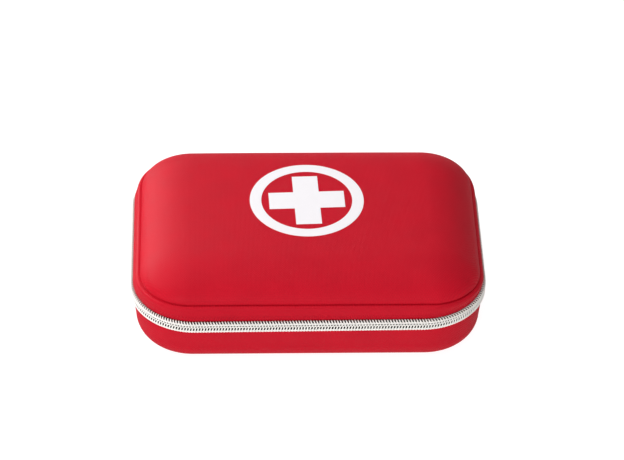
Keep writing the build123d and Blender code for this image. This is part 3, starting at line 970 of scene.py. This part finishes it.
def binding_section(up):
    """The tape's folded outline; up is 1 on the lid and -1 on the base."""
    spots = (
        (3.35, 4.9), (3.35, 5.4), (6.3, 5.45), (6.45, 5.6), (6.45, 10.9), (6.75, 11.05), (7.1, 10.9),
        (7.15, 10.4), (7.12, 8.0), (7.2, 6.0), (7.1, 5.1), (6.8, 4.8), (6.3, 4.7), (4.9, 4.72), (3.6, 4.68),
    )
    return [(inset, ZIP_Z + up * height) for inset, height in spots]


def closed_path(inset, height):
    """All round the plan and one step past its start, so that the row has no gap."""
    spots = [(x, y, height) for x, y in ring_points(inset, CORNER - inset)]
    return spots + spots[:2]


for body, up in (("lid", 1), ("base", -1)):
    tape = ring_strip(f"{body}_edge_tape", binding_section(up), binding_cloth)
    settle(tape, body, "binding", f"{body}_binding")
    seam = stitch_mesh("edge_stitch")
    seam.transform(Matrix.Rotation(math.pi, 4, "Z"))
    row = row_along(f"{body}_edge_seam", closed_path(7.16, ZIP_Z + up * 9.6), seam, 2.9, 0.2, thread_dark)
    settle(row, body, "binding")


# The lid's pocket: hexagonal knitted net stretched flat between the sides and sewn under the edge tape,
# with an elastic hem along its mouth.
net_yarn = plain_material("net_yarn", (0.050, 0.050, 0.055), 0.6, grain=3000.0, depth=0.00003)
elastic_band = cloth_material(
    "elastic_band", (0.035, 0.035, 0.038), 1100.0, rough=0.7, depth=0.00016, sheen=0.2, contrast=0.35
)
net_low, net_high = (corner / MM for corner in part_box("pocket_net"))
NET_CORNER = CORNER - 7.3
CELL = 1.45
YARN = 0.72


def inside_net(x, y):
    core_x, core_y = net_high.x - NET_CORNER, net_high.y - NET_CORNER
    if abs(x) <= core_x or y <= core_y:
        return abs(x) <= net_high.x and net_low.y <= y <= net_high.y
    return math.hypot(abs(x) - core_x, y - core_y) <= NET_CORNER


def make_net():
    """Honeycomb of knitted yarn; a cell that crosses the outline is left out."""
    work = bmesh.new()
    wide, tall = CELL * math.sqrt(3), CELL * 1.5
    made = {}

    def corner_at(x, y):
        key = (round(x, 2), round(y, 2))
        if key not in made:
            sag = 0.12 * noise.noise(Vector((x * 0.05, y * 0.05, 3.0)))
            made[key] = work.verts.new((x * MM, y * MM, (net_low.z + 0.25 + sag) * MM))
        return made[key]

    rows = int((net_high.y - net_low.y) / tall) + 1
    columns = int((net_high.x - net_low.x) / wide) + 1
    for row in range(rows):
        for column in range(columns):
            x = net_low.x + (column + 0.5 + 0.5 * (row % 2)) * wide
            y = net_low.y + CELL + row * tall
            spots = [
                (x + CELL * math.sin(math.radians(60 * k)), y + CELL * math.cos(math.radians(60 * k)))
                for k in range(6)
            ]
            if all(inside_net(*spot) for spot in spots):
                work.faces.new([corner_at(*spot) for spot in spots][::-1])
    mesh = bpy.data.meshes.new("pocket_mesh")
    work.to_mesh(mesh)
    work.free()
    mesh.materials.append(net_yarn)
    obj = add_object("pocket_mesh", mesh)
    wires = obj.modifiers.new("yarn", "WIREFRAME")
    wires.thickness = YARN * MM
    wires.use_even_offset = True
    wires.use_boundary = True
    return obj


def grid_box(name, low, high, cells, shape, material):
    """A closed slab of (columns, rows) cells; shape(u, v, x, y) gives its lower and upper height in mm."""
    columns, rows = cells
    vertices = []
    for side in (0, 1):
        for row in range(rows + 1):
            for column in range(columns + 1):
                u, v = column / columns, row / rows
                x, y = low[0] + (high[0] - low[0]) * u, low[1] + (high[1] - low[1]) * v
                vertices.append((x, y, shape(u, v, x, y)[side]))
    obj = skin(name, vertices, slab_faces(rows, columns), material)
    map_cloth(obj.data, [(x * MM, y * MM) for x, y, z in vertices])
    return obj


net = make_net()
settle(net, "lid", "net", "pocket_net")

hem_low, hem_high = (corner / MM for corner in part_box("pocket_hem"))


def hem_shape(u, v, x, y):
    edge = min(v, 1 - v)
    ribs = 0.05 * math.sin(x * 2.2) * math.cos(v * 9) + 0.03 * math.sin(v * 40)
    thick = 0.36 * min(1.0, 0.35 + edge * 6) + ribs
    middle = (hem_low.z + hem_high.z) / 2 + 0.06 * math.sin(x * 1.1)
    return middle - thick, middle + thick


hem = grid_box("pocket_elastic", hem_low, hem_high, (330, 16), hem_shape, elastic_band)
settle(hem, "lid", "elastic", "pocket_hem")


# Sealed packs of film, foil or paper, with a filled middle and flat margins welded round it: they hold
# the gloves, wipes, gauze pads, plasters and triangular bandage.
def foil_material(name, colour, rough, metal, crumple=55.0, depth=0.0006, shine=0.5):
    """Thin crumpled foil or film: broad soft creases with sharp ridges between them."""
    material, tree, shader = new_material(name)
    place, facets, fine = add_nodes(tree, "ShaderNodeTexCoord", "ShaderNodeTexVoronoi", "ShaderNodeTexNoise")
    tree.links.new(place.outputs["Object"], facets.inputs["Vector"])
    tree.links.new(place.outputs["Object"], fine.inputs["Vector"])
    facets.feature = "SMOOTH_F1"
    facets.inputs["Scale"].default_value = crumple
    fine.inputs["Scale"].default_value = crumple * 3
    fine.inputs["Detail"].default_value = 4.0
    creases = set_relief(tree, shader, facets.outputs["Distance"], depth)
    set_relief(tree, shader, fine.outputs["Fac"], depth * 0.4, under=creases)
    set_tones(tree, shader, fine.outputs["Fac"], tuple(channel * 0.88 for channel in colour), colour)
    shader.inputs["Roughness"].default_value = rough
    shader.inputs["Metallic"].default_value = metal
    shader.inputs["Specular IOR Level"].default_value = shine
    return material


foil_silver = foil_material("foil_silver", (0.80, 0.81, 0.83), 0.24, 1.0)
foil_gold = foil_material("foil_gold", (0.83, 0.66, 0.32), 0.22, 1.0, crumple=80.0, depth=0.0009)
film_clear = foil_material("film_clear", (0.86, 0.90, 0.93), 0.18, 0.0, crumple=40.0)
film_clear.node_tree.nodes["Principled BSDF"].inputs["Alpha"].default_value = 0.30
ink_blue = foil_material("ink_blue", (0.05, 0.22, 0.55), 0.35, 0.0)
ink_green = foil_material("ink_green", (0.03, 0.33, 0.20), 0.45, 0.0)
ink_red = foil_material("ink_red", (0.55, 0.02, 0.03), 0.45, 0.0)
paper_white = foil_material(
    "paper_white", (0.90, 0.90, 0.87), 0.7, 0.0, crumple=35.0, depth=0.0003, shine=0.3
)
paper_wrap = foil_material("paper_wrap", (0.88, 0.84, 0.77), 0.6, 0.0, crumple=90.0, depth=0.0002, shine=0.3)
glove_rubber = plain_material("glove_rubber", (0.08, 0.26, 0.62), 0.5, grain=900.0, depth=0.00006)


def pack(name, low, high, material, margin=3.0, soft=8.0, wrinkle=0.35, seed=0.0, cell=1.2, inks=()):
    """A sealed pouch between two corners; inks are (material, first, last, axis) stripes, as shares."""
    middle = (low[2] + high[2]) / 2
    full = (high[2] - low[2]) / 2
    film = min(0.25, full * 0.5)

    def rise(gap):
        share = min(max((gap - margin) / soft, 0.0), 1.0)
        return math.sqrt(1 - (1 - share) ** 2)

    def shape(u, v, x, y):
        gap_x, gap_y = min(x - low[0], high[0] - x), min(y - low[1], high[1] - y)
        swell = rise(gap_x) * rise(gap_y)
        creases = wrinkle * swell
        top = creases * noise.noise(Vector((x * 0.11 + seed, y * 0.09, 1.7)))
        top += creases * 0.5 * noise.noise(Vector((x * 0.35, y * 0.3 + seed, 4.1)))
        under = creases * noise.noise(Vector((x * 0.10, y * 0.12 + seed, 9.3)))
        crimp = 0.06 * math.sin(x * 4.2) if gap_y < margin * 0.8 else 0.0
        sag = 0.1 * (full - film) * noise.noise(Vector((x * 0.05, y * 0.05, seed)))
        reach = full - film - wrinkle * 1.2
        body = film + max(reach, 0.0) * swell
        level = middle + sag * (1 - swell)
        return level - body + under + crimp, level + body + top + crimp

    cells = (round((high[0] - low[0]) / cell), round((high[1] - low[1]) / cell))
    obj = grid_box(name, low, high, cells, shape, material)
    printed_side = -1 if low[2] > ZIP_Z else 1      # the side that shows when the case is open
    for number, (ink, first, last, axis) in enumerate(inks):
        obj.data.materials.append(ink)
        for polygon in obj.data.polygons:
            centre = polygon.center / MM
            share = (centre[axis] - low[axis]) / (high[axis] - low[axis])
            if first <= share <= last and polygon.normal.z * printed_side > 0.2:
                polygon.material_index = number + 1
    return obj


def node_box(node):
    return [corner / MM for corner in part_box(node)]


# Gloves: a pair of thin blue rubber gloves folded in three, welded into a pouch of clear film with one
# printed edge.
low, high = node_box("glove_pack")
pouch = pack(
    "glove_pouch", low, high, film_clear, margin=2.5, wrinkle=0.5, seed=2.0, inks=((ink_blue, 0.0, 0.07, 1),)
)
settle(pouch, "lid", "clear_pack", "glove_pack")


def folded_stack(name, low, high, layers, material, lip=0.9, seed=0.0):
    """Cloth folded over and over: layers with rounded edges all round, each a little shifted, joined into one
    soft block.
    """
    step = (high[2] - low[2]) / layers
    meshes = []
    for layer in range(layers):
        shift = 0.8 * math.sin(layer * 2.1 + seed)
        z_low, z_high = low[2] + step * layer, low[2] + step * (layer + 1) - 0.04 * step

        def shape(u, v, x, y, z_low=z_low, z_high=z_high, layer=layer):
            edge = min(min(u, 1 - u) * (high[0] - low[0]), min(v, 1 - v) * (high[1] - low[1]))
            share = min(1.0, edge / lip)
            round_off = (z_high - z_low) / 2 * (1 - math.sqrt(max(0.0, 1 - (1 - share) ** 2)))
            wave = 0.12 * step * noise.noise(Vector((x * 0.08, y * 0.08, layer * 3.1 + seed)))
            return z_low + round_off + wave, z_high - round_off + wave

        inner_low = (low[0] + 0.8 + shift * 0.5, low[1] + 0.8 - shift * 0.3)
        inner_high = (high[0] - 0.8 + shift * 0.5, high[1] - 0.8 - shift * 0.3)
        cells = (round((high[0] - low[0]) / 1.6), round((high[1] - low[1]) / 1.6))
        meshes.append(grid_box(f"{name}_{layer}", inner_low, inner_high, cells, shape, material))
    return join_pieces(name, meshes)


def join_pieces(name, pieces):
    """One object from several; the first one's materials lead."""
    work = bmesh.new()
    materials = []
    for piece in pieces:
        for material in piece.data.materials:
            if material not in materials:
                materials.append(material)
        start = len(work.faces)
        work.from_mesh(piece.data)
        work.faces.ensure_lookup_table()
        for face in work.faces[start:]:
            face.material_index = materials.index(piece.data.materials[face.material_index])
    mesh = bpy.data.meshes.new(name)
    work.to_mesh(mesh)
    work.free()
    for material in materials:
        mesh.materials.append(material)
    for piece in pieces:
        bpy.data.objects.remove(piece)
    return add_object(name, mesh)


gloves = folded_stack(
    "folded_gloves", (low.x + 6, low.y + 6, low.z + 1.5), (high.x - 6, high.y - 7, high.z - 1.5), 3,
    glove_rubber, 1.4,
)
settle(gloves, "lid", "clear_pack")


# Wipes in silver foil, gauze pads and plasters in paper: small flat packs, stacked, each with a plain
# printed stripe. The first of each stack stands in for the CAD's whole stack.
def stacked_packs(name, node, count, material, body, slot, gap, **options):
    low, high = node_box(node)
    thick = (high.z - low.z - gap * (count - 1)) / count
    for index in range(count):
        start = low.z + (thick + gap) * index
        obj = pack(
            f"{name}_{index + 1}", (low.x, low.y, start), (high.x, high.y, start + thick), material,
            seed=7.3 * index, **options,
        )
        settle(obj, body, slot, *([node] if index == 0 else []))


stacked_packs(
    "wipe", "antiseptic_wipes", 4, foil_silver, "lid", "foil_pack", gap=0.3, margin=4.0, soft=6.0,
    wrinkle=0.12, inks=((ink_blue, 0.28, 0.72, 1),),
)
stacked_packs(
    "gauze_pad", "gauze_pads", 3, paper_white, "base", "paper", gap=0.3, margin=4.0, soft=5.0, wrinkle=0.08,
    inks=((ink_green, 0.12, 0.26, 0),),
)
stacked_packs(
    "plaster", "plasters", 10, paper_wrap, "base", "plaster_wrap", gap=0.1, margin=3.0, soft=3.0,
    wrinkle=0.02, cell=1.6,
    inks=((ink_red, 0.46, 0.54, 1),),
)

# The triangular bandage: a square of white cotton cut corner to corner and folded small, in a pouch of
# clear film like the gloves'.
low, high = node_box("triangular_bandage")
cotton_cloth = cloth_material(
    "cotton_cloth", (0.84, 0.83, 0.79), 1300.0, rough=0.9, depth=0.00012, sheen=0.2, contrast=0.08
)
pouch = pack(
    "bandage_pouch", low, high, film_clear, margin=2.5, wrinkle=0.5, seed=11.0,
    inks=((ink_green, 0.0, 0.06, 1),),
)
settle(pouch, "base", "clear_pack", "triangular_bandage")
cloth = folded_stack(
    "folded_triangle", (low.x + 6, low.y + 6, low.z + 1.6), (high.x - 6, high.y - 6, high.z - 1.6), 6,
    cotton_cloth,
)
settle(cloth, "base", "white_cotton")


# The foil blanket: gold metallised film folded over and over into a springy block, which crumples it all
# over.
low, high = node_box("foil_blanket")
blanket = folded_stack("folded_blanket", low, (high.x, high.y, high.z - 0.3), 9, foil_gold, 1.2, seed=4.0)
settle(blanket, "base", "foil_pack", "foil_blanket")


# The guide: one long sheet of white paper folded to and fro into five leaves, with a plain red band
# printed across the outer leaf.
def make_leaflet():
    low, high = node_box("aid_leaflet")
    leaves = 5
    thick = 0.14
    step = (high.z - low.z - thick) / (leaves - 1)
    spots = []
    for leaf in range(leaves):
        z = low.z + thick / 2 + step * leaf
        ends = (low.x + 0.6, high.x - 0.6) if leaf % 2 == 0 else (high.x - 0.6, low.x + 0.6)
        spots += [
            (ends[0] + (ends[1] - ends[0]) * k / 24, z + 0.03 * math.sin(k * 0.6 + leaf)) for k in range(25)
        ]
        if leaf < leaves - 1:
            side = 1 if leaf % 2 == 0 else -1
            for bend in (math.radians(45), math.radians(90), math.radians(135)):
                spots.append((ends[1] + side * 0.5 * math.sin(bend), z + step / 2 * (1 - math.cos(bend))))
    vertices = []
    rows = 20
    for index, (x, z) in enumerate(spots):
        before, after = spots[max(index - 1, 0)], spots[min(index + 1, len(spots) - 1)]
        run = Vector((after[0] - before[0], after[1] - before[1])).normalized()
        for side in (-1, 1):
            for row in range(rows + 1):
                y = low.y + (high.y - low.y) * row / rows
                vertices.append((x - run.y * side * thick / 2, y, z + run.x * side * thick / 2))
    loop = list(range(rows + 1)) + list(range(2 * rows + 1, rows, -1))
    faces = loft_faces(len(spots), loop, 2 * (rows + 1))
    obj = skin("folded_guide", vertices, faces, paper_white, ink_red)
    mesh = obj.data
    fix_normals(mesh)
    for polygon in mesh.polygons:
        polygon.use_smooth = True
        centre = polygon.center / MM
        share = (centre.y - low.y) / (high.y - low.y)
        if centre.z < low.z + step / 2 and share > 0.86:
            polygon.material_index = 1
    return obj


settle(make_leaflet(), "lid", "paper", "aid_leaflet")


# Rolls: crepe bandage, gauze bandage and adhesive tape on its spool. Each is one long strip wound on
# itself, so its layers show at both ends.
crepe = cloth_material("crepe", (0.80, 0.70, 0.57), 620.0, rough=0.9, depth=0.00030, sheen=0.3, contrast=0.18)
gauze = cloth_material(
    "gauze", (0.88, 0.87, 0.84), 800.0, rough=0.92, depth=0.00022, sheen=0.3, contrast=0.10
)
tape_white = cloth_material("tape_white", (0.85, 0.83, 0.79), 2200.0, rough=0.6, contrast=0.05)


def rolled_strip(name, inner, outer, length, layers, material, frame_matrix, ragged=0.3, seed=0.0, tail=0.0):
    """A strip wound outwards about Z, from z 0 to length, then set down by the matrix; sizes in mm."""
    steps = layers * 44
    rows = 10
    gap = (outer - inner) / layers
    thick = gap * 0.72
    vertices, places = [], []
    walked = 0.0
    for step in range(steps + 1):
        angle = 2 * math.pi * layers * step / steps + tail
        radius = inner + thick + (outer - inner - thick) * step / steps
        walked += 2 * math.pi * radius * layers / steps
        out = Vector((math.cos(angle), math.sin(angle), 0))
        for side, reach in ((0, radius - thick), (1, radius)):
            for row in range(rows + 1):
                z = length * row / rows
                if row in (0, rows):
                    wobble = ragged * (0.5 + 0.5 * noise.noise(Vector((walked * 0.12, seed, row))))
                    z += wobble if row == 0 else -wobble
                soft = 0.06 * gap * noise.noise(Vector((walked * 0.3, z * 0.3, seed)))
                vertices.append(out * (reach - abs(soft)) + Vector((0, 0, z)))
                places.append((walked * MM, z * MM))
    loop = list(range(rows + 1)) + list(range(2 * rows + 1, rows, -1))
    obj = skin(name, vertices, loft_faces(steps + 1, loop, 2 * (rows + 1)), material)
    map_cloth(obj.data, places)
    obj.data.transform(frame_matrix)
    fix_normals(obj.data)
    obj.modifiers.new("crisp_edges", "EDGE_SPLIT").split_angle = math.radians(60)
    return obj


for node, name, material, slot, layers, tail in (
    ("elastic_bandage", "elastic_roll", crepe, "bandage", 9, 0.9),
    ("gauze_bandage", "gauze_roll", gauze, "white_cotton", 10, 2.6),
):
    low, high = node_box(node)
    radius = (high.x - low.x) / 2
    laid = Matrix(((1, 0, 0, low.x + radius), (0, 0, -1, high.y), (0, 1, 0, low.z + radius), (0, 0, 0, 1)))
    laid.translation *= MM
    roll = rolled_strip(
        name, 1.6, radius, high.y - low.y, layers, material, laid, ragged=0.5, seed=tail, tail=tail
    )
    settle(roll, "base", slot, node)

low, high = node_box("adhesive_tape")
radius = (high.x - low.x) / 2
upright = Matrix.Translation(Vector((low.x + radius, low.y + radius, low.z)) * MM)
spool_low, spool_high = node_box("tape_spool")
spool_radius = (spool_high.x - spool_low.x) / 2
tape_roll = rolled_strip(
    "tape_roll", spool_radius + 0.05, radius, high.z - low.z, 13, tape_white, upright,
    ragged=0.05, seed=3.0, tail=4.0,
)
settle(tape_roll, "base", "adhesive", "adhesive_tape")


# Hard things: the tape's moulded spool, stamped clips, bent wire pins, ground steel scissors with
# moulded handles, and tweezers. They keep their CAD shape; the sharp edges of most are broken here.
spool_blue = plain_material("spool_blue", (0.10, 0.25, 0.55), 0.42, grain=500.0)
steel = plain_material("drawn_steel", (0.66, 0.67, 0.69), 0.28, metal=1.0, grain=900.0, depth=0.00001)
handle_red = plain_material("handle_red", (0.50, 0.012, 0.02), 0.32, grain=300.0, depth=0.00003)


def brushed_steel():
    """Steel ground lengthwise: fine scratches along X, drawn out by stretching the noise."""
    material, tree, shader = new_material("brushed_steel")
    place, stretch, scratches = add_nodes(
        tree, "ShaderNodeTexCoord", "ShaderNodeMapping", "ShaderNodeTexNoise"
    )
    tree.links.new(place.outputs["Object"], stretch.inputs["Vector"])
    stretch.inputs["Scale"].default_value = (120.0, 4000.0, 4000.0)
    tree.links.new(stretch.outputs["Vector"], scratches.inputs["Vector"])
    scratches.inputs["Scale"].default_value = 1.0
    scratches.inputs["Detail"].default_value = 4.0
    set_relief(tree, shader, scratches.outputs["Fac"], 0.00002)
    set_gloss(tree, shader, scratches.outputs["Fac"], 0.16, 0.40)
    shader.inputs["Base Color"].default_value = (0.68, 0.69, 0.71, 1)
    shader.inputs["Metallic"].default_value = 1.0
    return material


blade_steel = brushed_steel()
finish_nodes(spool_blue, "tape_spool")
finish_nodes(steel, "bandage_clips", "safety_pins", "scissors_rivet")
finish_nodes(steel, "tweezers_fixed_arm", "tweezers_moving_arm")
finish_nodes(blade_steel, "scissors_fixed_blade", "scissors_moving_blade")
finish_nodes(handle_red, "scissors_fixed_handle", "scissors_moving_handle")

for name, width in (
    ("tape_spool", 0.4), ("bandage_clips", 0.12), ("tweezers_fixed_arm", 0.2), ("tweezers_moving_arm", 0.2),
    ("scissors_fixed_blade", 0.25), ("scissors_moving_blade", 0.25), ("scissors_rivet", 0.25),
    ("zip_slider", 0.35), ("zip_pull_tab", 0.3), ("upper_zip_stops", 0.3), ("lower_zip_stops", 0.3),
):
    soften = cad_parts[name].modifiers.new("broken_edges", "BEVEL")
    soften.width = width * MM
    soften.segments = 2
    soften.limit_method = "ANGLE"
    soften.angle_limit = math.radians(35)
    soften.harden_normals = False
